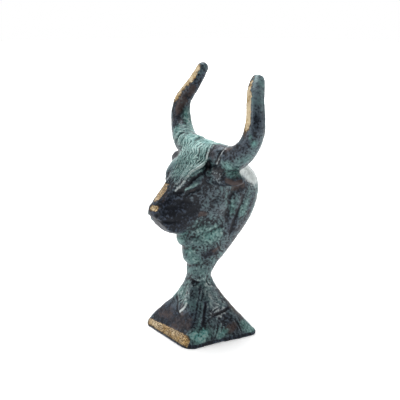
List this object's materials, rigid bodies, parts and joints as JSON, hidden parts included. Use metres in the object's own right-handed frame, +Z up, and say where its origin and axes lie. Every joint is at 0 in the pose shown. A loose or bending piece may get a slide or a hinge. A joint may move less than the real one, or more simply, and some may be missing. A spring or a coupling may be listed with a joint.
{
  "type": "minotaur bust",
  "caption": "Small cast bronze bust of a minotaur, a bull's head and neck with upswept horns on its own flared square plinth, to stand on a desk or shelf.",
  "frame": {"origin": "middle of the plinth's flat underside", "axes": "+Z up, the bull faces -Y, its left side is +X"},
  "size_m": [0.0623, 0.051, 0.1093],
  "materials": {
    "patinated_bronze": "blue-black patina with green verdigris in the hollows, bright filed faces on the horns, the nose and the foot of the plinth"
  },
  "bodies": {
    "root": {"minotaur_bust": "patinated_bronze"}
  },
  "joints": []
}
